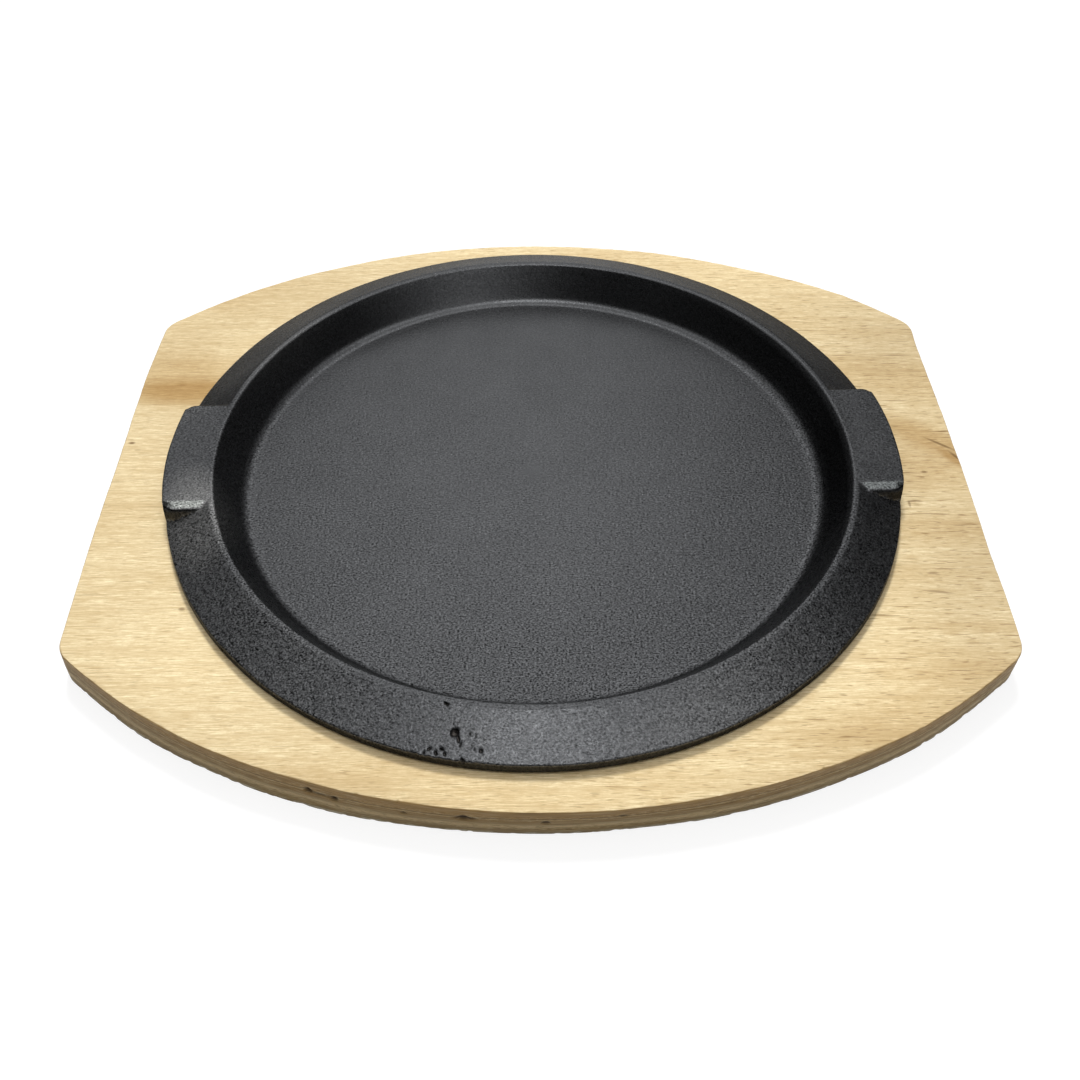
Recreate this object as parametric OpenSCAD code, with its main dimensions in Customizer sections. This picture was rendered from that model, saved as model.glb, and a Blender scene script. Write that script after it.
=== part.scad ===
// Round cast-iron sizzle platter with two gripping lugs, resting in the routed
// recess of a plywood underliner board. Millimetres. The origin is the middle of
// the board's underside, X runs along its long axis, and Z points up.

/* [Cast plate] */
// Outer diameter over the brim
plate_d = 250; // [200:1:262]
// Width of the sloping brim, seen from above
brim_w = 15; // [12:0.1:22]
// Width of the crest band between the brim and the well wall
crest_w = 1.8; // [1.4:0.1:4]
// Width of the sloping well wall, seen from above
wall_w = 8.7; // [5:0.1:16]
// Depth of the well, from the crest down to the floor
well_depth = 11.1; // [9.6:0.1:15]
// Drop of the sloping brim, from the crest to its outer edge
brim_fall = 6.6; // [5:0.1:7.8]
// Height of the brim's outer edge face
brim_edge_h = 2.6; // [2.4:0.1:4]
// Thickness of the cooking floor
floor_t = 4; // [3:0.1:6]
// Thickness of the well wall, square to its slope
wall_t = 4; // [3:0.1:5]

/* [Cast plate edges] */
// Radius of the well's fillet between wall and floor
floor_fillet_r = 4; // [1:0.5:6]
// Radius on both edges of the crest
crest_edge_r = 1.3; // [0.4:0.1:1.8]
// Radius on the upper corner of the brim's edge
brim_edge_r = 0.6; // [0.2:0.1:1.4]
// Radius on the plate's underside, where the base turns up into the wall
base_edge_r = 3; // [1:0.5:6]
// Radius at the top of the groove under the crest
groove_r = 1.5; // [0.5:0.1:3]

/* [Lugs] */
// Width of each lug along the brim
lug_w = 51.6; // [40:0.2:66]
// Radius on the lug's upper end edges
lug_edge_r = 2.8; // [0.5:0.1:3.6]
// Radius on the lug's outer corners, seen from above
lug_corner_r = 3; // [1:0.1:6]
// Radius on the lug's upper outer edge
lug_rim_r = 1; // [0.3:0.1:2]
// Thickness of the iron over and around the pocket under each lug
lug_skin = 4; // [3:0.1:5]

/* [Underliner board] */
// Width of the board across its two straight sides
board_w = 295.8; // [280:0.2:330]
// Depth of the board across the tops of its two bowed sides
board_d = 274.2; // [262:0.2:300]
// Length of each straight side, measured to where the bowed sides would meet it
side_len = 163.2; // [120:0.2:200]
// Radius of the board's four corners
corner_r = 12; // [6:0.2:36]
// Thickness of the board
board_t = 12; // [10:0.5:20]

/* [Seating] */
// Gap between the brim's lower edge and the board's top face
brim_gap = 0.9; // [0.2:0.1:1.2]
// Play between the plate's wall and the edge of the recess
recess_play = 3.2; // [2.4:0.1:5]
// Turn of the plate in its recess, in degrees
plate_turn = 2.2; // [-30:0.1:30]
// Sideways shift of the plate in its recess
shift_x = -1.7; // [-2.2:0.1:2.2]
// Shift of the plate away from the front of the board
shift_y = 0.3; // [-0.8:0.1:0.8]

/* [Hidden] */

iron = [0.16, 0.16, 0.17];
plywood = [0.86, 0.75, 0.56];
ring_fn = 180;
corner_steps = 6;
overcut = 1;

plate_r = plate_d / 2;
crest_r = plate_r - brim_w - crest_w;
floor_r = crest_r - wall_w;
crest_z = floor_t + well_depth;
edge_top_z = crest_z - brim_fall;
edge_low_z = edge_top_z - brim_edge_h;
recess_depth = edge_low_z - brim_gap;
recess_z = board_t - recess_depth;

// Point where the line through p along u meets the line through q along v
function meet(p, u, q, v) = p + u * cross(q - p, v) / cross(u, v);

// Arc of radius r that rounds corner b of the path a, b, c
function corner_arc(a, b, c, r) =
    let (
        to_a = (a - b) / norm(a - b),
        to_c = (c - b) / norm(c - b),
        half = acos(to_a * to_c) / 2,
        mid = (to_a + to_c) / norm(to_a + to_c),
        centre = b + mid * r / sin(half),
        first = b + to_a * r / tan(half) - centre,
        last = b + to_c * r / tan(half) - centre,
        start = atan2(first.y, first.x),
        sweep = (atan2(last.y, last.x) - start + 540) % 360 - 180
    )
    [for (i = [0:corner_steps])
        let (turn = start + sweep * i / corner_steps)
        centre + r * [cos(turn), sin(turn)]];

// Closed outline through corners given as [x, y, radius], where radius 0 stays sharp
function rounded(corners) =
    let (n = len(corners), at = [for (c = corners) [c[0], c[1]]])
    [for (i = [0:n - 1])
        each corners[i][2] == 0
            ? [at[i]]
            : corner_arc(at[(i + n - 1) % n], at[i], at[(i + 1) % n], corners[i][2])];

// Both faces of the well wall slope alike, and so do both faces of the brim
wall_dir = [wall_w, well_depth] / norm([wall_w, well_depth]);
wall_foot = [floor_r, floor_t] + wall_t * [wall_dir.y, -wall_dir.x];
brim_dir = [brim_w, -brim_fall];
base_corner = meet(wall_foot, wall_dir, [0, 0], [1, 0]);
groove_top = meet(wall_foot, wall_dir, [plate_r, edge_low_z], brim_dir);
wall_at_board = meet(wall_foot, wall_dir, [0, recess_depth], [1, 0]);
recess_r = wall_at_board.x + recess_play;

// Half section of the casting: floor, well wall, crest and sloping brim
module plate_section() {
    polygon(rounded([
        [0, 0, 0],
        [base_corner.x, 0, base_edge_r],
        [groove_top.x, groove_top.y, groove_r],
        [plate_r, edge_low_z, 0],
        [plate_r, edge_top_z, brim_edge_r],
        [crest_r + crest_w, crest_z, crest_edge_r],
        [crest_r, crest_z, crest_edge_r],
        [floor_r, floor_t, floor_fillet_r],
        [0, floor_t, 0]
    ]));
}

// Waste outside a corner's arc of radius r, which runs from one direction to another
module corner_waste(centre, from, to, r) {
    reach = 3 * r;
    mid = (from + to) / 2;
    translate(centre)
        difference() {
            polygon([
                [0, 0],
                reach * [cos(from), sin(from)],
                2 * reach * [cos(mid), sin(mid)],
                reach * [cos(to), sin(to)]
            ]);
            circle(r, $fn = ring_fn);
        }
}

// Solid lug, level with the crest and flush with the brim's edge
module lug_block() {
    half = lug_w / 2;
    root_z = edge_low_z + brim_edge_h / 2;
    inner_r = crest_r + crest_w / 2;
    centre_y = half - lug_corner_r;
    centre_x = sqrt(pow(plate_r - lug_corner_r, 2) - pow(centre_y, 2));
    intersection() {
        rotate([90, 0, 90])
            linear_extrude(plate_r + overcut)
                polygon(rounded([
                    [-half, root_z, 0],
                    [half, root_z, 0],
                    [half, crest_z, lug_edge_r],
                    [-half, crest_z, lug_edge_r]
                ]));
        rotate_extrude($fn = ring_fn)
            polygon(rounded([
                [inner_r, 0, 0],
                [plate_r, 0, 0],
                [plate_r, crest_z, lug_rim_r],
                [inner_r, crest_z, 0]
            ]));
        linear_extrude(crest_z + overcut)
            difference() {
                translate([0, -half - overcut])
                    square([plate_r + overcut, lug_w + 2 * overcut]);
                for (side = [0, 1])
                    mirror([0, side])
                        corner_waste([centre_x, centre_y], atan2(centre_y, centre_x), 90,
                                     lug_corner_r);
            }
    }
}

// Pocket under a lug, which keeps the casting's thickness even
module lug_pocket() {
    pocket_w = lug_w - 2 * lug_skin;
    inner_r = groove_top.x + groove_r;
    intersection() {
        rotate_extrude($fn = ring_fn)
            translate([inner_r, 0])
                square([plate_r - lug_skin - inner_r, crest_z - lug_skin]);
        translate([0, -pocket_w / 2, -overcut])
            cube([plate_r, pocket_w, crest_z]);
    }
}

// One-piece casting: round well, sloping brim and two gripping lugs
module cast_plate() {
    color(iron)
        translate([shift_x, shift_y, recess_z])
            rotate([0, 0, plate_turn])
                difference() {
                    union() {
                        rotate_extrude($fn = ring_fn) plate_section();
                        for (side = [0, 180]) rotate([0, 0, side]) lug_block();
                    }
                    for (side = [0, 180]) rotate([0, 0, side]) lug_pocket();
                }
}

// Circle of which the board's bowed front and back edges are arcs
bow_rise = (board_d - side_len) / 2;
bow_r = (pow(board_w / 2, 2) + pow(bow_rise, 2)) / (2 * bow_rise);
bow_y = board_d / 2 - bow_r;
corner_x = board_w / 2 - corner_r;
corner_y = bow_y + sqrt(pow(bow_r - corner_r, 2) - pow(corner_x, 2));
corner_turn = atan2(corner_y - bow_y, corner_x);

// Board outline: straight left and right sides, bowed front and back, round corners
module board_outline() {
    difference() {
        intersection() {
            square([board_w, 2 * board_d], center = true);
            translate([0, bow_y]) circle(bow_r, $fn = 2 * ring_fn);
            translate([0, -bow_y]) circle(bow_r, $fn = 2 * ring_fn);
        }
        for (flip_x = [0, 1], flip_y = [0, 1])
            mirror([flip_x, 0])
                mirror([0, flip_y])
                    corner_waste([corner_x, corner_y], 0, corner_turn, corner_r);
    }
}

// Plywood underliner board with the round recess that the plate sits in
module underliner_board() {
    color(plywood)
        difference() {
            linear_extrude(board_t) board_outline();
            translate([0, 0, recess_z])
                cylinder(h = recess_depth + overcut, r = recess_r, $fn = ring_fn);
        }
}

underliner_board();
cast_plate();
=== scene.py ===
"""Round cast-iron sizzle platter resting in its plywood underliner board."""
import math

import bpy
import numpy as np
from mathutils import Matrix


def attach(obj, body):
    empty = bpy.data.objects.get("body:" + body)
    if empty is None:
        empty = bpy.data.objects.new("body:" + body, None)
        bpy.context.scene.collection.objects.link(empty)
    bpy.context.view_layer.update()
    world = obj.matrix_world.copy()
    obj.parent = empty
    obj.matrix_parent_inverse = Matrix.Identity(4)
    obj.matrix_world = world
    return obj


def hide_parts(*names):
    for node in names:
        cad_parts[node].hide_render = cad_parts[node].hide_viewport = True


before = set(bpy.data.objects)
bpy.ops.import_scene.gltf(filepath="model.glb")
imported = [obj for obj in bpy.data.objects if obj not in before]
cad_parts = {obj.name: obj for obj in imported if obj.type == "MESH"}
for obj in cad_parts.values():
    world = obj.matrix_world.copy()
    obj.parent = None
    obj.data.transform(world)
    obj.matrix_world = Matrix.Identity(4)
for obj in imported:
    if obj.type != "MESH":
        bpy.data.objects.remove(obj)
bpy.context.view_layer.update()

# Underliner board: one sheet of five-ply hardwood, 12 mm thick, bandsawn to two straight
# sides and two bowed ones, its edges left as sawn with the top arris eased by hand, and
# its top face routed with the round recess that the hot plate sits in.
MM = 0.001
BOARD_W, BOARD_D, BOARD_T = 295.8, 274.2, 12.0
SIDE_LEN, SIDE_BOW = 163.2, 1.0
BOARD_CORNER_R = 10.0
RECESS_R, RECESS_Z = 108.6, 7.0
PLIES = 5
# Where the saw strayed outwards: place as a share of the way round, and millimetres. The
# same for its tilt, which carries the foot of the edge out beyond its top.
HAND_CUT = [(0.0, -0.1), (0.07, -0.4), (0.115, 1.6), (0.16, 0.3), (0.24, -0.1), (0.36, 0.6),
            (0.41, -0.2), (0.445, 0.4), (0.5, -0.1), (0.59, -0.5), (0.64, 0.2), (0.68, -0.5),
            (0.72, -0.1), (0.8, 0.2), (0.87, 1.3), (0.93, 0.5), (0.965, 0.0)]
TILT = [(0.5, 0.0), (0.6, 0.3), (0.62, 0.9), (0.645, 0.4), (0.67, 1.0), (0.69, 0.8),
        (0.715, 0.0), (0.76, -0.6), (0.78, -0.7), (0.8, 0.0), (0.845, -0.5), (0.88, -0.2),
        (0.905, -0.7), (0.93, 0.0)]

BOW_RISE = (BOARD_D - SIDE_LEN) / 2
BOW_R = ((BOARD_W / 2) ** 2 + BOW_RISE ** 2) / (2 * BOW_RISE)
BOW_Y = BOARD_D / 2 - BOW_R
CORNER_X = BOARD_W / 2 - BOARD_CORNER_R
CORNER_Y = BOW_Y + math.sqrt((BOW_R - BOARD_CORNER_R) ** 2 - CORNER_X ** 2)
CORNER_TURN = math.atan2(CORNER_Y - BOW_Y, CORNER_X)
CORNER_LEN = BOARD_CORNER_R * CORNER_TURN
QUARTER_LEN = CORNER_Y + CORNER_LEN + BOW_R * (math.pi / 2 - CORNER_TURN)
OUTLINE_LEN = 4 * QUARTER_LEN


def board_outline(distance):
    """Point and outward normal at a distance round the board, from the middle of its right
    side: half a side, a corner arc and half a bow, mirrored for the other quarters. The sides
    fall in a little towards the corners, and the saw's strays are added."""
    quarter = np.floor(distance / QUARTER_LEN).astype(int) % 4
    along = distance - quarter * QUARTER_LEN
    along = np.where(quarter % 2 == 1, QUARTER_LEN - along, along)
    turn = np.interp(along, [0, CORNER_Y, CORNER_Y + CORNER_LEN, QUARTER_LEN],
                     [0, 0, CORNER_TURN, math.pi / 2])
    on_bow = along > CORNER_Y + CORNER_LEN
    radius = np.where(on_bow, BOW_R, BOARD_CORNER_R)
    centre = np.stack([np.where(on_bow, 0, CORNER_X),
                       np.where(on_bow, BOW_Y, np.minimum(along, CORNER_Y))], -1)
    normal = np.stack([np.cos(turn), np.sin(turn)], -1)
    flip = np.stack([np.where((quarter == 1) | (quarter == 2), -1, 1),
                     np.where(quarter >= 2, -1, 1)], -1)
    point = centre + radius[:, None] * normal
    towards_corner = np.minimum(point[:, 1] / CORNER_Y, 1) ** 2
    point[:, 0] -= SIDE_BOW * towards_corner * (2 * point[:, 0] / BOARD_W) ** 2
    stray = np.interp(distance / OUTLINE_LEN, *zip(*HAND_CUT), period=1)
    return (point + stray[:, None] * normal) * flip, normal * flip


def streaks(rows, columns, length, rng):
    """Random rows smoothed round a closed path by a bell curve some columns long, scaled
    to a spread of one."""
    spectrum = np.fft.rfft(rng.normal(size=(rows, columns)), axis=1)
    spectrum *= np.exp(-0.5 * (2 * np.pi * np.fft.rfftfreq(columns) * length) ** 2)
    drawn = np.fft.irfft(spectrum, columns, axis=1)
    return drawn / drawn.std()


SHARP = math.radians(50)


def closed_surface(name, rings, start, end, marks):
    """Mesh over rings of points, each ring joined round and to the next by quads, with a
    fan to a point before the first ring and after the last. Marks are values per point."""
    count, columns = rings.shape[:2]
    points = np.vstack([rings.reshape(-1, 3), [start, end]]) * MM
    column = np.arange(columns)
    following = (column + 1) % columns
    base = np.arange(count - 1)[:, None] * columns
    quads = np.stack([base + column, base + columns + column,
                      base + columns + following, base + following], -1).reshape(-1, 4)
    last = (count - 1) * columns
    first_fan = np.stack([np.full(columns, count * columns), column, following], -1)
    last_fan = np.stack([last + column, np.full(columns, count * columns + 1),
                         last + following], -1)
    corners = np.concatenate([quads.ravel(), first_fan.ravel(), last_fan.ravel()])
    starts = np.concatenate([np.arange(len(quads)) * 4,
                             quads.size + np.arange(2 * columns) * 3])
    mesh = bpy.data.meshes.new(name)
    mesh.vertices.add(len(points))
    mesh.vertices.foreach_set("co", points.ravel())
    mesh.loops.add(len(corners))
    mesh.loops.foreach_set("vertex_index", corners)
    mesh.polygons.add(len(starts))
    mesh.polygons.foreach_set("loop_start", starts)
    mesh.update(calc_edges=True)
    mesh.validate()
    mesh.polygons.foreach_set("use_smooth", np.ones(len(starts), dtype=bool))
    mesh.set_sharp_from_angle(angle=SHARP)
    for mark, values in marks.items():
        layer = mesh.attributes.new(mark, "FLOAT", "POINT")
        layer.data.foreach_set("value", np.append(values.ravel(), [0, 0]).astype(np.float32))
    made = bpy.data.objects.new(name, mesh)
    bpy.context.scene.collection.objects.link(made)
    return made


# The cut edge is rows of points from the top down, each set in from the even outline by the
# saw's wander, a step at each ply, the fibres, the glue lines and the tears at the foot.
BOARD_COLUMNS, EDGE_ROWS, FACE_ROWS = 1500, 28, 7
EASED, EASE_WAVE, EASE_NICKS, FOOT_EASED = 0.45, 0.28, 0.16, 0.25
LEAST_EASED, WIDEST_EASED, DEEPEST_EASED = 0.15, 2.0, 1.4
INSET, LEAST_INSET, MOST_INSET = 0.16, 0.08, 2.0
WANDER, PLY_STEP, FIBRE_STEP, GLUE_STEP, FOOT_TEAR = 0.07, 0.05, 0.025, 0.05, 0.16
GLUE_WIDTH, FOOT_H = 0.22, 1.1
wood_rng = np.random.default_rng(11)
distance = (np.arange(BOARD_COLUMNS) + 0.5) * OUTLINE_LEN / BOARD_COLUMNS
edge_xy, edge_normal = board_outline(distance)
bearing = np.arctan2(edge_xy[:, 1], edge_xy[:, 0])
bearing_xy = np.stack([np.cos(bearing), np.sin(bearing)], -1)

edge_z = np.linspace(BOARD_T - EASED, EASED * 0.6, EDGE_ROWS)
ply_t = BOARD_T / PLIES
ply = np.clip(((BOARD_T - edge_z) / ply_t).astype(int), 0, PLIES - 1)
ply_set = streaks(PLIES, BOARD_COLUMNS, 12, wood_rng)[ply] * PLY_STEP
fibre = np.where((ply % 2 == 0)[:, None], streaks(EDGE_ROWS, BOARD_COLUMNS, 7, wood_rng),
                 streaks(EDGE_ROWS, BOARD_COLUMNS, 1.5, wood_rng))
sawn = streaks(1, BOARD_COLUMNS, 20, wood_rng) * WANDER
from_glue = np.mod(BOARD_T - edge_z + ply_t / 2, ply_t) - ply_t / 2
glue = np.exp(-(from_glue / GLUE_WIDTH) ** 2)[:, None]

# Places where the plies' cross bands are torn open, each as distance round the outline,
# height above the underside, length, height and depth. Their insides get painted shade.
VOIDS = [(0.6822, 7.8, 1.4, 1.25, 1.2), (0.6902, 7.0, 1.3, 1.1, 1.1), (0.6855, 7.6, 4.5, 0.3, 0.3),
         (0.7290, 7.4, 3.6, 0.7, 0.5), (0.7285, 7.4, 2.0, 1.3, 1.0), (0.7520, 6.4, 1.5, 0.8, 0.6),
         (0.7110, 6.7, 0.8, 0.6, 0.6), (0.7740, 8.2, 1.5, 0.6, 0.5), (0.35, 7.4, 3.0, 0.6, 0.8),
         (0.12, 4.6, 2.6, 0.6, 0.8), (0.265, 7.6, 3.6, 0.6, 0.9), (0.02, 7.7, 2.2, 0.6, 0.7),
         (0.90, 4.5, 3.0, 0.5, 0.7), (0.50, 4.3, 2.6, 0.6, 0.8), (0.44, 7.8, 1.8, 0.5, 0.6)]
torn = np.zeros((EDGE_ROWS, BOARD_COLUMNS))
void_depth = np.zeros_like(torn)
for share, middle_z, length, tall, depth in VOIDS:
    gap = np.abs(distance - share * OUTLINE_LEN)
    gap = np.minimum(gap, OUTLINE_LEN - gap)
    reach = np.hypot(gap[None, :] / length, (edge_z[:, None] - middle_z) / tall)
    bite = np.clip(1.5 * (1.15 - reach), 0, 1)
    torn = np.maximum(torn, bite)
    void_depth = np.maximum(void_depth, bite * depth)

foot = np.clip(1 - edge_z / FOOT_H, 0, 1)[:, None]
ragged = np.maximum(streaks(1, BOARD_COLUMNS, 1.0, wood_rng), 0) * FOOT_TEAR * foot
inset = INSET + sawn + ply_set + FIBRE_STEP * fibre + GLUE_STEP * glue + void_depth + ragged
inset = np.clip(inset, LEAST_INSET, MOST_INSET)
tilt = np.interp(distance / OUTLINE_LEN, *zip(*TILT), period=1)
inset -= (1 - edge_z / BOARD_T)[:, None] * tilt

# Chips off the top arris: distance round the outline, half length and size.
CHIPS = [(0.7095, 0.55, 1.3), (0.6975, 1.0, 0.8), (0.8350, 1.8, 0.8), (0.655, 1.0, 0.6),
         (0.7880, 0.8, 0.6), (0.868, 1.2, 0.6), (0.3, 1.2, 0.6), (0.06, 1.5, 0.6)]
ease = EASED * (1 + EASE_WAVE * streaks(1, BOARD_COLUMNS, 9, wood_rng)[0]
                + EASE_NICKS * streaks(1, BOARD_COLUMNS, 1.5, wood_rng)[0])
for share, half_length, size in CHIPS:
    gap = np.abs(distance - share * OUTLINE_LEN)
    ease = np.maximum(ease, size * np.sqrt(np.clip(1 - (gap / half_length) ** 2, 0, 1)))
ease = np.clip(ease, LEAST_EASED, WIDEST_EASED)
ease_z = np.minimum(ease, DEEPEST_EASED)


def ring(xy, z):
    """Ring of points over the plan xy at the height z."""
    return np.column_stack([xy, np.broadcast_to(z, BOARD_COLUMNS)])


RECESS_EDGE = 0.3
recess = RECESS_R * bearing_xy
face_start = recess + RECESS_EDGE * bearing_xy
rings = [ring(recess * share, RECESS_Z) for share in (0.1, 0.4, 0.8)]
rings += [ring(recess - RECESS_EDGE * bearing_xy, RECESS_Z), ring(recess, RECESS_Z + RECESS_EDGE),
          ring(recess, BOARD_T - RECESS_EDGE), ring(face_start, BOARD_T)]
arris_start = edge_xy - (inset[0] + ease)[:, None] * edge_normal
rings += [ring(face_start + (arris_start - face_start) * share, BOARD_T)
          for share in np.linspace(0, 1, FACE_ROWS)[1:]]
for turn in np.radians([22, 45, 68]):
    rings.append(ring(edge_xy - (inset[0] + ease * (1 - math.sin(turn)))[:, None] * edge_normal,
                      BOARD_T - ease_z * (1 - math.cos(turn))))
top_rings = len(rings)
lowered = np.minimum(edge_z[:, None], BOARD_T - ease_z - 0.02 * np.arange(EDGE_ROWS)[:, None])
rings += [ring(edge_xy - inset[row][:, None] * edge_normal, lowered[row])
          for row in range(EDGE_ROWS)]
under = FOOT_EASED + ragged[-1] + 0.1 * np.abs(streaks(1, BOARD_COLUMNS, 2, wood_rng)[0])
rings.append(ring(edge_xy - (inset[-1] + 0.6 * under)[:, None] * edge_normal, 0.06))
rings.append(ring(edge_xy - (inset[-1] + 1.6 * under)[:, None] * edge_normal, 0))
rings += [ring(edge_xy * share, 0) for share in (0.9, 0.5, 0.1)]
rings = np.array(rings)

on_edge = np.zeros(rings.shape[:2])
on_edge[top_rings - 2:top_rings + EDGE_ROWS + 1] = 1
void_shade_marks = np.zeros_like(on_edge)
void_shade_marks[top_rings:top_rings + EDGE_ROWS] = torn
board = closed_surface("underliner", rings, (0, 0, RECESS_Z), (0, 0, 0),
                       {"edge": on_edge, "void": void_shade_marks})


def paint(red, green, blue):
    """Linear colour of an everyday 0 to 255 one."""
    share = np.array([red, green, blue]) / 255
    linear = np.where(share <= 0.04045, share / 12.92, ((share + 0.055) / 1.055) ** 2.4)
    return (*(float(v) for v in linear), 1.0)


def add(tree, kind, sockets, **settings):
    """Adds a node: values and links go to its sockets, settings to its properties."""
    made = tree.nodes.new(kind)
    for key, value in settings.items():
        setattr(made, key, value)
    for key, value in sockets.items():
        if isinstance(value, bpy.types.NodeSocket):
            tree.links.new(value, made.inputs[key])
        else:
            made.inputs[key].default_value = value
    return made


def stretch(tree, place, scale, offset=(0, 0, 0), turn=0.0):
    """The place turned about Z, then scaled on each axis, then shifted."""
    return add(tree, "ShaderNodeMapping", {"Vector": place, "Scale": scale, "Location": offset,
                                           "Rotation": (0, 0, turn)}).outputs[0]


def cloud(tree, place, scale, detail=2.0, rough=0.5):
    """Soft noise from 0 to 1 with this many waves to the metre."""
    return add(tree, "ShaderNodeTexNoise", {"Vector": place, "Scale": scale, "Detail": detail,
                                            "Roughness": rough}).outputs[0]


def level(tree, value, low, high, to_low=0.0, to_high=1.0):
    """A value carried from one range to another and kept inside it."""
    return add(tree, "ShaderNodeMapRange", {"Value": value, "From Min": low, "From Max": high,
                                            "To Min": to_low, "To Max": to_high}).outputs[0]


def calc(tree, operation, a, b=0.5, c=0.5):
    """One step of arithmetic on values."""
    return add(tree, "ShaderNodeMath", {0: a, 1: b, 2: c}, operation=operation).outputs[0]


def tint(tree, factor, a, b, way="MIX"):
    """Colour a laid over with colour b by a factor."""
    return add(tree, "ShaderNodeMix", {0: factor, 6: a, 7: b}, data_type="RGBA",
               blend_type=way).outputs[2]


def mark(tree, name):
    """The value that the mesh carries under this name."""
    return add(tree, "ShaderNodeAttribute", {}, attribute_name=name).outputs["Fac"]


def patches(tree, place, body, color, spots):
    """Colour body darkened or lightened by a colour in soft-edged ovals on the plan, each
    given as middle, half length and half width in millimetres, turn in degrees and strength."""
    for x, y, long, wide, turn, strength in spots:
        local = add(tree, "ShaderNodeMapping",
                    {"Vector": place, "Location": (x * MM, y * MM, 0),
                     "Rotation": (0, 0, math.radians(turn)),
                     "Scale": (long * MM, wide * MM, 1)}, vector_type="TEXTURE").outputs[0]
        oval = add(tree, "ShaderNodeTexGradient", {"Vector": local}, gradient_type="SPHERICAL")
        near = level(tree, oval.outputs[1], 0.0, 0.6, 0.0, strength)
        body = tint(tree, near, body, color, "MULTIPLY")
    return body


def new_material(name):
    """Material with a lone Principled shader: the material, its tree, shader and place."""
    made = bpy.data.materials.new(name)
    made.use_nodes = True
    tree = made.node_tree
    place = tree.nodes.new("ShaderNodeTexCoord").outputs["Object"]
    return made, tree, tree.nodes["Principled BSDF"], place


CREAM, STRAW = paint(245, 230, 190), paint(203, 179, 134)
# The last of these is the grey tint of painted shade.
DASH, WASH, PAINTED_SHADE_TINT = paint(146, 118, 76), (0.73, 0.62, 0.46, 1), (0.74, 0.72, 0.71, 1)
MARK = (0.3, 0.22, 0.15, 1)
PLY_COLORS = [(0.0, 172, 138, 84), (0.20, 166, 132, 80), (0.28, 172, 140, 88),
              (0.31, 116, 90, 52), (0.35, 196, 168, 116), (0.39, 156, 125, 76),
              (0.50, 156, 127, 80), (0.58, 184, 159, 114), (0.66, 214, 188, 140),
              (0.73, 188, 162, 116), (0.80, 160, 134, 88), (0.90, 160, 136, 92),
              (1.0, 140, 119, 80)]
CUT_DARK, CUT_PALE = paint(104, 84, 54), paint(206, 190, 154)
# The second of these is the near black of painted shade inside the torn voids.
FRAYED, VOID_SHADE = paint(226, 216, 190), paint(38, 26, 14)
birch, tree, shader, place = new_material("plywood")

wander = cloud(tree, stretch(tree, place, (9, 30, 30)), 1.0, 1.0)
drift = add(tree, "ShaderNodeCombineXYZ", {"Y": calc(tree, "MULTIPLY", wander, 0.004)}).outputs[0]
grain_place = add(tree, "ShaderNodeVectorMath", {0: place, 1: drift}, operation="ADD").outputs[0]
fine = cloud(tree, stretch(tree, grain_place, (170, 3000, 3000)), 1.0, 3.0, 0.75)
band = cloud(tree, stretch(tree, grain_place, (30, 700, 700), (3, 7, 1)), 1.0, 3.0, 0.6)
broad = cloud(tree, stretch(tree, grain_place, (9, 34, 34), (1, 4, 2)), 1.0, 2.0, 0.5)
pores = cloud(tree, stretch(tree, grain_place, (230, 1900, 1900), (8, 2, 5)), 1.0, 1.0)
gaps = cloud(tree, stretch(tree, grain_place, (60, 1300, 1300), (2, 9, 3)), 1.0, 1.0)
blur = cloud(tree, place, 700, 2.0, 0.6)
# The sheet's figure is calm at the left and open-pored at the right.
across = add(tree, "ShaderNodeSeparateXYZ", {"Vector": place}).outputs["X"]
pored = level(tree, across, -0.10, 0.13, 0.55, 1.1)
streaked = level(tree, across, -0.05, 0.13, 0.4, 1.2)
face = tint(tree, level(tree, fine, 0.36, 0.62), CREAM, STRAW)
face = tint(tree, level(tree, band, 0.38, 0.68, 0.0, 0.7), face, STRAW)
face = tint(tree, level(tree, blur, 0.45, 0.75, 0.0, 0.4), face, STRAW)
pores = calc(tree, "MULTIPLY", level(tree, pores, 0.62, 0.72, 0.0, 0.6), pored)
gaps = calc(tree, "MULTIPLY", level(tree, gaps, 0.68, 0.76, 0.0, 0.75), streaked)
face = tint(tree, pores, face, DASH)
face = tint(tree, gaps, face, DASH)
face = tint(tree, level(tree, broad, 0.48, 0.74, 0.0, 0.5), face, WASH, "MULTIPLY")

# Brown washes of the veneer, grey patches of painted shade where less light falls, and small
# dark marks.
WASHES = [(-130, 41, 36, 10, 0, 1.0), (-134, 48, 30, 20, -8, 0.6), (106, -106, 60, 14, 27, 0.3),
          (-46, -131, 50, 6, -17, 0.12), (34, -133, 5, 3, 10, 0.35), (139, 15, 26, 9, -32, 0.75),
          (146, 4, 8, 3, -50, 0.9), (131, 3, 30, 18, 0, 0.35), (136, -30, 34, 9, 0, 0.4),
          (130, 50, 44, 15, -12, 0.45), (112, -90, 16, 3, 0, 0.3), (132, -72, 30, 4, 0, 0.3)]
PAINTED_SHADE_PATCHES = [(146, 25, 52, 120, 0, 0.6), (120, 80, 60, 36, -20, 0.35),
              (90, -122, 70, 22, 22, 0.2), (148, -70, 44, 60, 0, 0.5),
              (-142, -40, 40, 90, 0, 0.25), (-75, -122, 70, 24, -24, 0.25),
              (-108, 98, 80, 34, 27, 0.4), (-138, 44, 34, 40, 0, 0.3)]
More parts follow.
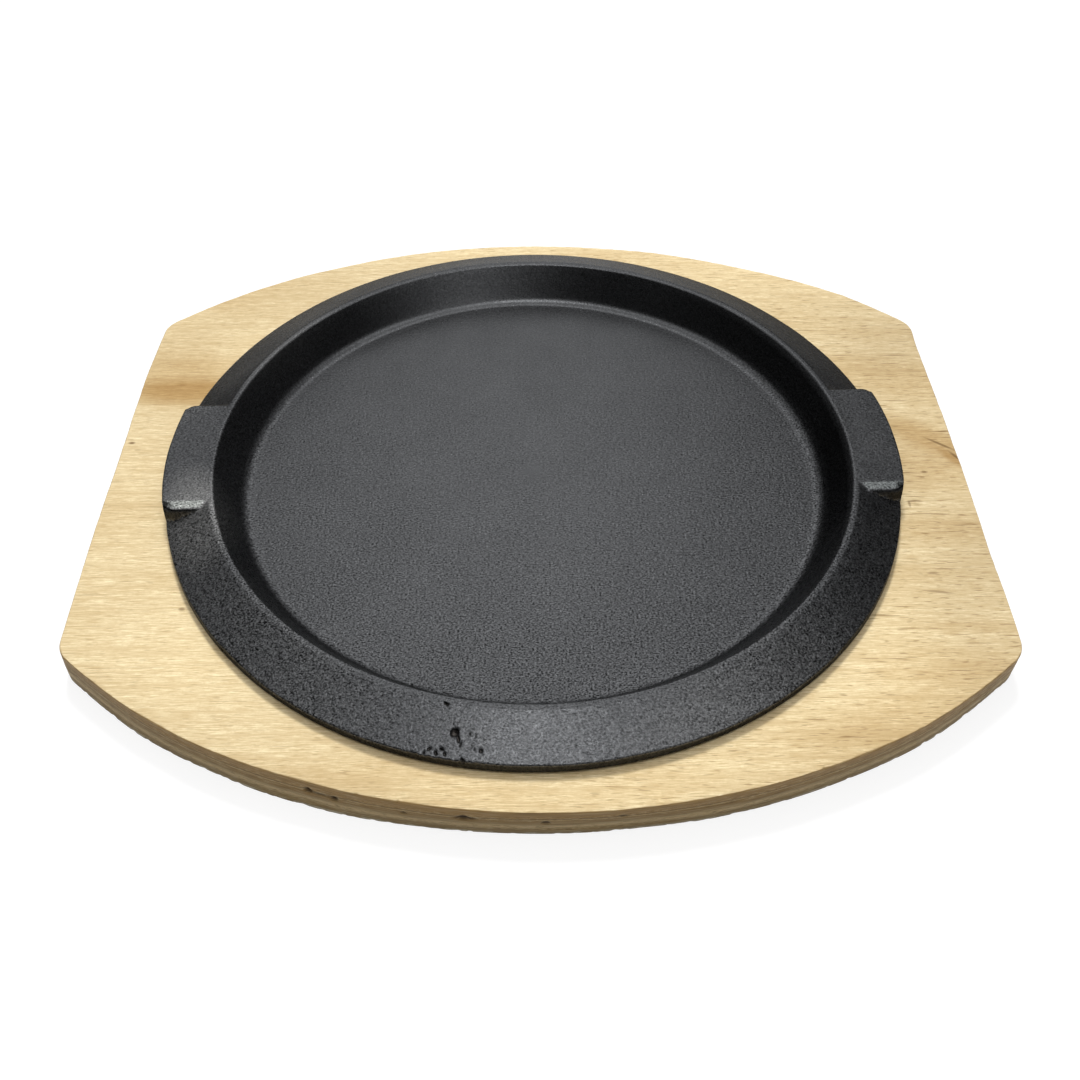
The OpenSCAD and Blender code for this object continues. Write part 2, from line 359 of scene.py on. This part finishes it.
MARKS = [(143, 11.5, 7.5, 0.8, -36, 0.7), (147, 5, 4.5, 0.8, -55, 0.65),
         (134, -2.7, 1.5, 0.7, 0, 0.8), (127, -17, 3.6, 0.6, 8, 0.7),
         (125.6, -18.4, 0.6, 2.0, 0, 0.6), (126.6, -49.7, 2.4, 0.7, 0, 0.5),
         (127, -57.7, 5.5, 0.7, -8, 0.5), (-144.7, 12.5, 1.5, 0.8, 0, 0.9),
         (-111.5, -64.5, 1.4, 0.9, 0, 0.7)]
for color, spots in ((WASH, WASHES), (PAINTED_SHADE_TINT, PAINTED_SHADE_PATCHES), (MARK, MARKS)):
    face = patches(tree, place, face, color, spots)

# The cut edge: colours of the plies from the top down, end grain along or across each.
on_cut = mark(tree, "edge")
height_m = add(tree, "ShaderNodeSeparateXYZ", {"Vector": place}).outputs["Z"]
layer = calc(tree, "MULTIPLY", calc(tree, "SUBTRACT", BOARD_T * MM, height_m),
             PLIES / (BOARD_T * MM))
plies = add(tree, "ShaderNodeValToRGB", {"Fac": calc(tree, "DIVIDE", layer, PLIES)})
for depth, *color in PLY_COLORS[1:-1]:
    plies.color_ramp.elements.new(depth).color = paint(*color)
plies.color_ramp.elements[0].color = paint(*PLY_COLORS[0][1:])
plies.color_ramp.elements[-1].color = paint(*PLY_COLORS[-1][1:])
along_x = cloud(tree, stretch(tree, place, (70, 500, 3600)), 1.0, 3.0, 0.7)
along_y = cloud(tree, stretch(tree, place, (500, 120, 3200)), 1.0, 3.0, 0.7)
crosswise = calc(tree, "GREATER_THAN", calc(tree, "MODULO", layer, 2.0), 1.0)
cut_grain = add(tree, "ShaderNodeMix", {0: crosswise, 2: along_x, 3: along_y}).outputs[0]
cut = tint(tree, level(tree, cut_grain, 0.50, 0.66, 0.0, 0.65), plies.outputs[0], CUT_DARK)
cut = tint(tree, level(tree, cut_grain, 0.48, 0.32, 0.0, 0.65), cut, CUT_PALE)
foot_line = calc(tree, "MULTIPLY", level(tree, height_m, 0.0014, 0.0009),
                 level(tree, height_m, 0.0003, 0.0007))
frayed = cloud(tree, stretch(tree, place, (160, 160, 500)), 1.0, 2.0, 0.6)
frayed = calc(tree, "MULTIPLY", foot_line, level(tree, frayed, 0.46, 0.6, 0.0, 0.7))
cut = tint(tree, frayed, cut, FRAYED)
# Painted shade: the torn voids are coloured near black.
cut = tint(tree, mark(tree, "void"), cut, VOID_SHADE)
tree.links.new(tint(tree, on_cut, face, cut), shader.inputs["Base Color"])
shader.inputs["Roughness"].default_value = 0.62
shader.inputs["IOR"].default_value = 1.4
face_relief = calc(tree, "MULTIPLY_ADD", fine, 0.6, calc(tree, "MULTIPLY", band, 0.8))
relief = add(tree, "ShaderNodeMix", {0: on_cut, 2: face_relief, 3: cut_grain}).outputs[0]
bump = add(tree, "ShaderNodeBump", {"Strength": 0.5, "Distance": 0.00012, "Height": relief})
tree.links.new(bump.outputs[0], shader.inputs["Normal"])
board.data.materials.append(birch)
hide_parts("underliner_board")
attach(board, "root")

# Cast plate: one iron casting from a sand mould, fettled at the rim and baked black. A flat
# floor, a sloped wall and a narrow crest fold over into the brim that slopes down to a thin
# edge, and two solid-looking lugs, level with the crest, stand on the brim for a gripper.
PLATE_AT = (-1.7, 0.3, 7.0)
PLATE_TURN = math.radians(2.2)
PLATE_R, CREST_OUT_R, CREST_IN_R, FLOOR_R = 125.0, 110.0, 108.2, 99.5
FLOOR_T, WALL_T = 4.0, 4.0
# The well as it is seen: its foot a little lower than the solid's, and moved to the left.
WELL_R, WELL_Z, WELL_SHIFT = 99.6, 2.5, -0.5
WELL_FILLET_R, GROOVE_R, BASE_R = 4.8, 1.5, 3.0
CREST_Z = 15.1
EDGE_TOP_Z, EDGE_LOW_Z = 8.5, 5.9
BRIM_SLOPE = (CREST_Z - EDGE_TOP_Z) / (PLATE_R - CREST_OUT_R)
CREST_EDGE_R, RIM_R = 1.3, 0.65
# Each lug: half width on its near and far side, radii of its end's upper edge on both sides,
# of its foot and of its corners in plan, steepest draft, the worn facet of its near end, and
# the pocket under it.
LUG_HALF, LUG_FAR_HALF = 25.8, 26.1
LUG_END_R, LUG_FAR_R, LUG_ROOT_R, LUG_PLAN_R = 1.3, 1.4, 1.3, 3.6
STEEPEST = math.radians(80)
FACET_START, FACET_END, FACET_SLOPE = 3.3, 1.0, 0.45
POCKET_OUT_R, POCKET_HALF, POCKET_Z, POCKET_SOFT = 121.0, 21.8, 11.1, 0.3


def fillet(before, corner, after, radius, steps):
    """Points of the arc that rounds a corner, from where a circle of the radius touches the
    line before it to where it touches the line after it."""
    before, corner, after = np.array(before, float), np.array(corner, float), np.array(after, float)
    back = (before - corner) / np.linalg.norm(before - corner)
    on = (after - corner) / np.linalg.norm(after - corner)
    half = math.acos(back @ on) / 2
    centre = corner + (back + on) / np.linalg.norm(back + on) * radius / math.sin(half)
    first = corner + back * radius / math.tan(half) - centre
    last = corner + on * radius / math.tan(half) - centre
    begin = math.atan2(first[1], first[0])
    sweep = (math.atan2(last[1], last[0]) - begin + 3 * math.pi) % (2 * math.pi) - math.pi
    turn = begin + sweep * np.linspace(0, 1, steps + 1)
    return centre + radius * np.stack([np.cos(turn), np.sin(turn)], -1)


def smooth(x):
    """Rises from 0 to 1 with x, level at both ends."""
    x = np.clip(x, 0, 1)
    return x * x * (3 - 2 * x)


# Columns of the casting: a quarter turn with close columns at a lug's end, four times, and
# close columns where the brim is pitted.
lug_y = np.concatenate([np.linspace(0, 20.9, 15)[:-1], np.linspace(20.9, 22.3, 4)[:-1],
                        np.linspace(22.3, 28.9, 29)[:-1], np.linspace(28.9, 31.2, 5)])
quarter = np.concatenate([np.arcsin(lug_y / CREST_OUT_R),
                          np.linspace(math.asin(31.2 / CREST_OUT_R), math.pi / 2, 80)[1:]])
columns = np.concatenate([quarter, math.pi - quarter, math.pi + quarter, 2 * math.pi - quarter,
                          np.radians(np.arange(250.0, 262.5, 0.11))])
columns = np.unique(np.round(columns % (2 * math.pi), 6))
columns = columns[np.diff(np.append(columns, columns[0] + 2 * math.pi)) > math.radians(0.06)]
lug_side = np.abs(CREST_OUT_R * np.sin(columns))
follow_lug = smooth((lug_side - 8) / 11) * smooth((48 - lug_side) / 17)
iron_rng = np.random.default_rng(5)
degrees = np.degrees(columns)


def swell(angle, longest, shortest, count, rng):
    """Sum of waves round the plate with seeded random phases, scaled to a spread of one."""
    cycles = np.round(360 / np.geomspace(longest, shortest, count))
    phases = rng.uniform(0, 2 * np.pi, count)
    return np.cos(angle[..., None] * cycles + phases).sum(-1) / math.sqrt(count / 2)


def brim_angle(r):
    """Angle of each column at radius r: radial, but beside the lugs at a constant distance
    from the lug's middle line, so that columns run along its ends."""
    straight = CREST_OUT_R / np.maximum(r, CREST_OUT_R)
    sine = np.sin(columns) * (1 + (straight - 1) * follow_lug)
    cosine = np.sign(np.cos(columns)) * np.sqrt(np.clip(1 - sine * sine, 0, 1))
    return np.arctan2(sine, cosine)


def brim_height(r):
    """Top of the brim at radius r: level crest, a rounding, then a straight slope."""
    start = CREST_OUT_R - CREST_EDGE_R * math.tan(math.atan(BRIM_SLOPE) / 2)
    end = start + CREST_EDGE_R * math.sin(math.atan(BRIM_SLOPE))
    arc = CREST_Z - CREST_EDGE_R + np.sqrt(np.clip(CREST_EDGE_R ** 2 - (r - start) ** 2, 0, None))
    straight = CREST_Z - BRIM_SLOPE * (r - CREST_OUT_R)
    return np.where(r < start, CREST_Z, np.where(r < end, arc, straight))


def lug_reach(r, y):
    """Distance outside a lug's outline, which has rounded outer corners in plan; it is below
    zero on the lug."""
    out = np.maximum(r - (PLATE_R - LUG_PLAN_R), 0)
    side = np.abs(y) - (np.where(y > 0, LUG_FAR_HALF, LUG_HALF) - LUG_PLAN_R)
    return np.hypot(out * smooth(side / 1.5), np.maximum(side, 0)) - LUG_PLAN_R


def lug_fall(r, y):
    """How far the top lies below the crest: nothing on a lug, then a gentle facet on its near
    end, an outward rounding, a steep draft and an inward fillet down to the brim, by distance
    from the lug's outline."""
    end_r = np.where(y > 0, LUG_FAR_R, LUG_END_R)
    out = lug_reach(r, y)
    facet = FACET_SLOPE * np.clip(out + FACET_START, 0, FACET_START - FACET_END) * (y < 0)
    fall = CREST_Z - brim_height(r)
    rounding = end_r + LUG_ROOT_R
    turn = np.arccos(np.clip(1 - fall / rounding, math.cos(STEEPEST), 1))
    spare = np.maximum(fall - rounding * (1 - np.cos(turn)), 0)
    steep = np.tan(turn)
    upper_end = -end_r + end_r * np.sin(turn)
    draft_end = upper_end + spare / np.maximum(steep, 1e-6)
    root_end = draft_end + LUG_ROOT_R * np.sin(turn)
    upper = end_r - np.sqrt(np.clip(end_r ** 2 - np.clip(out + end_r, 0, None) ** 2, 0, None))
    draft = end_r * (1 - np.cos(turn)) + (out - upper_end) * steep
    root = fall - LUG_ROOT_R + np.sqrt(np.clip(LUG_ROOT_R ** 2 - (root_end - out) ** 2, 0, None))
    end = np.select([out <= -end_r, out < upper_end, out < draft_end, out < root_end],
                    [0 * fall, upper, draft, root], fall)
    return np.minimum(fall, end + facet)


# Casting pits in the near brim, in the plate's own plan: place, half length, half width,
# turn in degrees and depth.
PITS = [(-26.3, -114.6, 1.45, 1.25, 20, 0.75), (-25.3, -116.4, 0.5, 1.3, 12, 0.45),
        (-24.7, -117.9, 0.35, 0.9, -30, 0.30), (-28.5, -106.9, 1.15, 0.5, -33, 0.4),
        (-33.5, -118.2, 1.0, 0.45, 15, 0.35), (-31.7, -119.4, 0.6, 0.9, 25, 0.30),
        (-30.0, -118.6, 1.1, 0.4, -28, 0.35), (-29.2, -119.9, 0.5, 0.7, 10, 0.35),
        (-35.0, -119.0, 0.7, 0.4, 40, 0.25), (-19.0, -119.9, 0.75, 0.75, 0, 0.32),
        (-20.9, -119.6, 0.35, 0.3, 0, 0.22), (-22.0, -115.3, 0.5, 0.3, 10, 0.25),
        (-20.4, -116.1, 0.35, 0.3, 0, 0.22), (-21.6, -118.4, 0.3, 0.4, 0, 0.2),
        (-24.2, -121.9, 0.45, 0.9, 38, 0.45), (-26.6, -112.2, 0.3, 0.25, 0, 0.2),
        (-38.2, -113.2, 0.35, 0.3, 0, 0.2), (-11.5, -109.5, 0.9, 0.25, -20, 0.12),
        (-9.6, -108.9, 0.5, 0.25, 30, 0.12)]
PIT_STEEP = 1.7


def pitting(x, y):
    """Depth of the casting pits at plan places: each pit is a steep-sided oval bowl."""
    depth = np.zeros_like(x)
    for px, py, length, width, turn, deep in PITS:
        cos_turn, sin_turn = math.cos(math.radians(turn)), math.sin(math.radians(turn))
        along = (x - px) * cos_turn + (y - py) * sin_turn
        beside = (y - py) * cos_turn - (x - px) * sin_turn
        bowl = PIT_STEEP * (1 - np.hypot(along / length, beside / width))
        depth = np.maximum(depth, deep * np.clip(bowl, 0, 1))
    return depth


# Wear of the brim's edge: waves, worn stretches and, by the pits, fettling nicks. A stretch
# is where it begins and ends, how softly at both, in degrees, and depth.
NICKED = (249.5, 2.5, 263, 3, 0.09)
WORN_STRETCHES = [(219.0, 0.5, 229, 9, 0.22), (250, 14, 296, 14, 0.30)]


def stretch_of(begin, soft_begin, end, soft_end, depth):
    """Depth of wear by column: rises softly where the stretch begins and falls at its end."""
    return depth * smooth((degrees - begin) / soft_begin) * smooth((end - degrees) / soft_end)


set_back = 0.08 + 0.05 * (1 + np.clip(swell(columns, 60, 7, 14, iron_rng), -1, 1))
for worn_stretch in WORN_STRETCHES:
    set_back += stretch_of(*worn_stretch)
set_back += stretch_of(*NICKED) * np.clip(1 + swell(columns, 3, 0.7, 18, iron_rng), 0, 2.6)
upper_r = PLATE_R - set_back

FLOOR_STEPS = (6, 20, 36, 52, 68, 82, 90, 95)
inner = [(r, WELL_Z) for r in FLOOR_STEPS]
inner += list(fillet((0, WELL_Z), (WELL_R, WELL_Z), (CREST_IN_R, CREST_Z), WELL_FILLET_R, 8))
wall_top = fillet((WELL_R, WELL_Z), (CREST_IN_R, CREST_Z), (CREST_OUT_R, CREST_Z), CREST_EDGE_R, 6)
inner += list(inner[-1] + (wall_top[0] - inner[-1]) * share for share in (0.2, 0.4, 0.6, 0.8))
inner += list(wall_top)
profile = [(np.full(len(columns), r), np.full(len(columns), z)) for r, z in inner]

brim_starts = wall_top[-1][0]
near_edge = upper_r - RIM_R
BRIM_STEPS = np.concatenate([
    [109.3, 109.6, 109.75, 109.9, 110.05, 110.25, 110.6, 111.1, 111.8, 112.6],
    np.arange(113.3, 121.9, 0.5), [122.25, 122.65, 123.05, 123.4, 123.7, 123.9]])
BRIM_STEPS_END = 123.95
for share in (BRIM_STEPS - brim_starts) / (BRIM_STEPS_END - brim_starts):
    at = brim_starts + share * (near_edge - brim_starts)
    profile.append((at, CREST_Z - lug_fall(at, at * np.sin(brim_angle(at)))))

on_lug = 1 - np.clip(lug_fall(near_edge, near_edge * np.sin(brim_angle(near_edge)))
                     / (CREST_Z - brim_height(near_edge)), 0, 1)
slope = math.atan(BRIM_SLOPE) * (1 - on_lug)
arc_start = upper_r - RIM_R + RIM_R * np.sin(slope)
arc_top = CREST_Z - lug_fall(arc_start, arc_start * np.sin(brim_angle(arc_start)))
for share in np.linspace(0, 1, 7):
    turn = slope + (math.pi / 2 - slope) * share
    profile.append((upper_r - RIM_R + RIM_R * np.sin(turn),
                    arc_top - RIM_R * np.cos(slope) + RIM_R * np.cos(turn)))
face_top = profile[-1][1]
FACE_STEPS = (0.2, 0.4, 0.6, 0.8, 0.93)
for share in FACE_STEPS:
    z = face_top + (EDGE_LOW_Z - face_top) * share
    profile.append((upper_r + set_back * 0.8 * smooth((EDGE_TOP_Z - z) / 2.6), z))
top_count = len(profile)

wall_way = np.array([CREST_IN_R - FLOOR_R, CREST_Z - FLOOR_T])
wall_way /= np.linalg.norm(wall_way)
wall_foot = np.array([FLOOR_R, FLOOR_T]) + WALL_T * np.array([wall_way[1], -wall_way[0]])
base_corner = wall_foot - wall_way * wall_foot[1] / wall_way[1]
groove_reach = ((PLATE_R - wall_foot[0]) * BRIM_SLOPE + EDGE_LOW_Z - wall_foot[1]) / (
    wall_way[1] + wall_way[0] * BRIM_SLOPE)
groove_top = wall_foot + wall_way * groove_reach


def underside(r, y):
    """Underside of the brim at radius r: a plane parallel to its top, raised to a level
    ceiling in the pocket under each lug, which has steep walls."""
    z = EDGE_LOW_Z + (PLATE_R - r) * BRIM_SLOPE
    inside = (smooth((POCKET_OUT_R + POCKET_SOFT - r) / (2 * POCKET_SOFT))
              * smooth((POCKET_HALF + POCKET_SOFT - np.abs(y)) / (2 * POCKET_SOFT)))
    return z + np.maximum(POCKET_Z - z, 0) * inside


UNDER_STEPS = (124.6, 124, 123, 122, 121.4, 121.2, 121.0, 120.8, 120.6, 119, 117, 115, 113.4,
               112.4)
for r in UNDER_STEPS:
    at = np.full(len(columns), float(r))
    profile.append((at, underside(at, at * np.sin(brim_angle(at)))))
outside = list(fillet((PLATE_R, EDGE_LOW_Z), groove_top, base_corner, GROOVE_R, 5))
base = fillet(groove_top, base_corner, (0, 0), BASE_R, 5)
outside += [outside[-1] + (base[0] - outside[-1]) * share for share in (0.33, 0.67)]
outside += list(base) + [(80, 0), (30, 0), (6, 0)]
profile += [(np.full(len(columns), r), np.full(len(columns), z)) for r, z in outside]

radius = np.array([r for r, z in profile])
height = np.array([z for r, z in profile])
angle = np.array([brim_angle(r) for r in radius])
x, y = radius * np.cos(angle), radius * np.sin(angle)
x = x + WELL_SHIFT * smooth((CREST_IN_R - radius) / 8) * (height < CREST_Z - 0.1)
top_side = (np.arange(len(radius)) < top_count - len(FACE_STEPS))[:, None]
pit = pitting(x, y) * top_side
WAVE_DEPTH = 0.03
casting_wave = (swell(angle, 70, 16, 9, iron_rng) * swell(radius / 40, 70, 16, 9, iron_rng)
                * smooth((radius - 60) / 50))
height = height - pit - WAVE_DEPTH * (1 + np.clip(casting_wave, -1, 1)) * top_side

cos_turn, sin_turn = math.cos(PLATE_TURN), math.sin(PLATE_TURN)
rings = np.stack([x * cos_turn - y * sin_turn, x * sin_turn + y * cos_turn, height], -1)
rings += np.array(PLATE_AT)

# How strongly the sand's grain shows, in its bumps and as painted glints and shade in the
# colour: most on the near floor and the brim at the near left and right, least on the far
# floor. Round the brim it is given by degrees.
BRIM_GRAIN_AND_GLINT = [(0, 1.5), (13, 1.5), (16, 0.9), (60, 0.8), (120, 0.8), (164, 0.9), (167, 1.5),
              (193, 1.5), (196, 2.7), (225, 2.6), (255, 1.25), (285, 1.25), (315, 2.6),
              (344, 2.2), (347, 1.5), (360, 1.5)]
floor_grain_and_glint = (np.interp(np.hypot(x, y - 20), [0, 40, 80, 120], [1.0, 1.4, 2.0, 2.7])
               * np.interp(y, [20, 80], [1, 0.3]) * np.interp(x, [-90, -10], [0.75, 0.95]))
brim_grain_and_glint = np.interp(degrees, *zip(*BRIM_GRAIN_AND_GLINT))
grain_and_glint = floor_grain_and_glint + (brim_grain_and_glint - floor_grain_and_glint) * smooth((radius - 99) / 10)

# The facets of the lugs' near ends are rubbed and get a painted highlight, and what is under
# them gets painted shade.
reach = lug_reach(radius, y)
above_brim = smooth((height - brim_height(radius) - 0.1) / 0.4)
worn_highlight = (smooth((reach + 3.6) / 0.6) * smooth((-0.7 - reach) / 0.6) * (y < 0) * above_brim
        * smooth((radius - 110.8) / 1.5) * top_side)
# Painted shade on the steep ends of the lugs, below their facets.
steep = smooth((reach + 0.9) / 0.4) * above_brim * (radius > 111) * top_side

# Painted shade on the wall at the right and on the brim below the right lug, by degrees.
WALL_SHADE = [(0, 0.9), (30, 0.8), (45, 0.5), (60, 0), (315, 0), (330, 0.4), (345, 0.8), (360, 0.9)]
BRIM_SHADE = [(300, 0), (330, 0.25), (344, 0.35), (346, 0)]
on_wall = smooth((radius - WELL_R - 0.5) / 1.5) * smooth(CREST_IN_R - 0.3 - radius) * top_side
on_brim = smooth((radius - 111) / 3) * top_side
right_shade = (on_wall * np.interp(degrees, *zip(*WALL_SHADE))
         + on_brim * np.interp(degrees, *zip(*BRIM_SHADE)))

# Painted shade, near black: in the casting pits by their depth, on the brim's edge face and
# underside, and on the lugs' steep ends. The mesh carries it under the mark named pit.
PIT_FULL, EDGE_SHADE, END_SHADE = 0.35, 0.33, 0.4
painted_shade = np.maximum(EDGE_SHADE * (1 - top_side), END_SHADE * steep)
painted_shade = np.maximum(np.clip(pit / PIT_FULL, 0, 1), painted_shade)
centre = (PLATE_AT[0], PLATE_AT[1], PLATE_AT[2] + WELL_Z - WAVE_DEPTH)
plate = closed_surface("platter", rings, centre, PLATE_AT,
                       {"pit": painted_shade, "grain_and_glint": grain_and_glint, "worn_highlight": worn_highlight, "right_shade": right_shade})

# The baked iron is nearly black: its colour is the small share of light that it mirrors.
HOLLOW, PEAK, LIGHT_FLECK = (0.0, 0.0, 0.0, 1), (0.162, 0.166, 0.173, 1), (0.28, 0.28, 0.28, 1)
# Colours of the painted highlight on the lugs' rubbed facets and of the painted shade at the right,
# and a factor that lightens places on the brim.
WORN_HIGHLIGHT_PEAK, RIGHT_SHADE_TINT, LIGHTENING = (0.235, 0.25, 0.25, 1), (0.15, 0.15, 0.15, 1), (2.2, 2.15, 2.05, 1)
# The near black of painted shade for pits, edge face and lug ends, and a dark brown for the beds of
# the deeper pits.
PIT_SHADE, PIT_BED = (0.01, 0.01, 0.01, 1), (0.055, 0.05, 0.046, 1)
# Places on the brim made lighter.
LIGHTER_PLACES = [(-103, 61, 66, 17, 59, 0.6), (-111, -33, 26, 14, 106, 1.0),
          (-82, -84, 60, 16, 134, 0.12), (64, -99, 56, 16, 33, 0.2)]
iron, tree, shader, place = new_material("cast_iron")
grit = cloud(tree, stretch(tree, place, (1500, 2100, 2000)), 1.0, 2.0, 0.65)
lump = cloud(tree, place, 750, 2.0, 0.5)
mottle = cloud(tree, place, 60, 3.0, 0.6)
speck = cloud(tree, place, 900, 1.0)
shade_mask, grain_and_glint = mark(tree, "pit"), mark(tree, "grain_and_glint")
# The grain in the colour, near black in its hollows and bright on its peaks, is painted glints and
# shade over the iron's own dark tone.
grain_and_glint_tone = calc(tree, "MULTIPLY_ADD", calc(tree, "SUBTRACT", grit, 0.5),
             calc(tree, "MULTIPLY", grain_and_glint, 1.5), level(tree, mottle, 0.3, 0.7, 0.47, 0.53))
# The lugs' rubbed near-end facets get a lighter peak colour, partly wear and partly painted
# highlight.
body = tint(tree, grain_and_glint_tone, HOLLOW, tint(tree, mark(tree, "worn_highlight"), PEAK, WORN_HIGHLIGHT_PEAK))
# Painted shade on the right wall and on the brim below the right lug.
body = tint(tree, mark(tree, "right_shade"), body, RIGHT_SHADE_TINT, "MULTIPLY")
body = patches(tree, place, body, LIGHTENING, LIGHTER_PLACES)
# Light flecks scattered over the iron.
body = tint(tree, level(tree, speck, 0.79, 0.83, 0.0, 0.35), body, LIGHT_FLECK)
# Painted shade in the pits, on the brim's edge face and under the lugs' ends; the deeper pits' beds
# a dark brown.
body = tint(tree, level(tree, shade_mask, 0.0, 0.5), body, PIT_SHADE)
body = tint(tree, level(tree, shade_mask, 0.75, 1.0), body, PIT_BED)
tree.links.new(body, shader.inputs["Base Color"])
shader.inputs["Metallic"].default_value = 0.9
shader.inputs["Specular Tint"].default_value = (0.4, 0.4, 0.4, 1)
tree.links.new(level(tree, lump, 0.3, 0.7, 0.24, 0.32), shader.inputs["Roughness"])
skin = calc(tree, "MULTIPLY", calc(tree, "MULTIPLY_ADD", lump, 0.8, grit), grain_and_glint)
bump = add(tree, "ShaderNodeBump", {"Strength": 1.0, "Distance": 0.00007, "Height": skin})
tree.links.new(bump.outputs[0], shader.inputs["Normal"])
plate.data.materials.append(iron)
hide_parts("cast_plate")
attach(plate, "root")

# Floor and light: a plain pale floor under soft studio light, with the camera at the height
# and angle of someone standing at the table. The floor looks white to the camera and in
# mirrors, keeps a faint shadow, and throws back less light than white would.
FLOOR_HALF = 4
PALE, DULL, WHITE_GLOW = (0.22, 0.22, 0.22, 1), (0.45, 0.45, 0.45, 1), 0.82
floor_mesh = bpy.data.meshes.new("floor")
floor_corners = [(-FLOOR_HALF, -FLOOR_HALF, 0), (FLOOR_HALF, -FLOOR_HALF, 0),
                 (FLOOR_HALF, FLOOR_HALF, 0), (-FLOOR_HALF, FLOOR_HALF, 0)]
floor_mesh.from_pydata(floor_corners, [], [(0, 1, 2, 3)])
floor = bpy.data.objects.new("floor", floor_mesh)
bpy.context.scene.collection.objects.link(floor)
matte = bpy.data.materials.new("matte_floor")
matte.use_nodes = True
tree = matte.node_tree
tree.nodes.remove(tree.nodes["Principled BSDF"])
rays = tree.nodes.new("ShaderNodeLightPath").outputs
mirrored = calc(tree, "MAXIMUM", rays["Is Glossy Ray"], rays["Is Transmission Ray"])
seen = calc(tree, "MAXIMUM", rays["Is Camera Ray"], mirrored)
pale = add(tree, "ShaderNodeBsdfDiffuse", {"Color": PALE})
white = add(tree, "ShaderNodeEmission", {"Strength": WHITE_GLOW})
bright = add(tree, "ShaderNodeAddShader", {0: pale.outputs[0], 1: white.outputs[0]})
dull = add(tree, "ShaderNodeBsdfDiffuse", {"Color": DULL})
either = add(tree, "ShaderNodeMixShader", {0: seen, 1: dull.outputs[0], 2: bright.outputs[0]})
tree.links.new(either.outputs[0], tree.nodes["Material Output"].inputs["Surface"])
floor.data.materials.append(matte)

# Soft lights of the room: azimuth from the back towards the right and elevation, in degrees,
# tightness and strength.
LOBES = [(0, 12, 60, 2.1), (0, 28, 60, 1.7), (0, 52, 60, 1.7), (0, 67, 40, 1.9),
         (-28, 42, 40, 1.05), (28, 42, 40, 0.4), (-60, 40, 30, 0.7), (60, 40, 30, 0.2),
         (-90, 65, 30, 1.6), (90, 65, 30, 2.1), (180, 76, 60, 6.2), (153, 40, 20, 1.05)]
world = bpy.data.worlds.new("studio")
world.use_nodes = True
tree = world.node_tree
sky = tree.nodes.new("ShaderNodeTexCoord").outputs["Generated"]
glow = 0.0
for azimuth, elevation, tight, strength in LOBES:
    turn, rise = math.radians(azimuth), math.radians(elevation)
    toward = (math.sin(turn) * math.cos(rise), math.cos(turn) * math.cos(rise), math.sin(rise))
    facing = add(tree, "ShaderNodeVectorMath", {0: sky, 1: toward}, operation="DOT_PRODUCT")
    lobe = calc(tree, "POWER", calc(tree, "MAXIMUM", facing.outputs["Value"], 0.0), tight)
    glow = calc(tree, "MULTIPLY_ADD", lobe, strength, glow)
camera_ray = tree.nodes.new("ShaderNodeLightPath").outputs["Is Camera Ray"]
lit = add(tree, "ShaderNodeMix", {0: camera_ray, 2: glow, 3: 1.0}).outputs[0]
tree.links.new(lit, tree.nodes["Background"].inputs["Strength"])
tree.nodes["Background"].inputs["Color"].default_value = (1, 1, 1, 1)
bpy.context.scene.world = world

# The key light throws the brim's shadow on the wood in front. The iron doesn't mirror it.
KEY_AZIMUTH, KEY_ELEVATION, KEY_WIDTH, KEY_STRENGTH = -4, 52, 12, 2.6
key_data = bpy.data.lights.new("key", "SUN")
key_data.energy = KEY_STRENGTH
key_data.angle = math.radians(KEY_WIDTH)
key = bpy.data.objects.new("key", key_data)
key.visible_glossy = False
key.rotation_euler = (math.radians(KEY_ELEVATION - 90), 0, math.radians(-KEY_AZIMUTH))
bpy.context.scene.collection.objects.link(key)

CAMERA_AT = (0.000007, -0.3086, 0.30305)
PITCH, YAW, ROLL = math.radians(46.772), math.radians(0.092), math.radians(0.021)
SENSOR, LENS = 36, 40.45
camera_data = bpy.data.cameras.new("camera")
camera_data.sensor_width, camera_data.lens = SENSOR, LENS
camera_data.clip_start, camera_data.clip_end = 0.01, 50
camera = bpy.data.objects.new("camera", camera_data)
camera.matrix_world = (Matrix.Translation(CAMERA_AT) @ Matrix.Rotation(-YAW, 4, "Z")
                       @ Matrix.Rotation(math.pi / 2 - PITCH, 4, "X")
                       @ Matrix.Rotation(ROLL, 4, "Z"))
bpy.context.scene.collection.objects.link(camera)
bpy.context.scene.camera = camera
bpy.context.scene.view_settings.view_transform = "Standard"
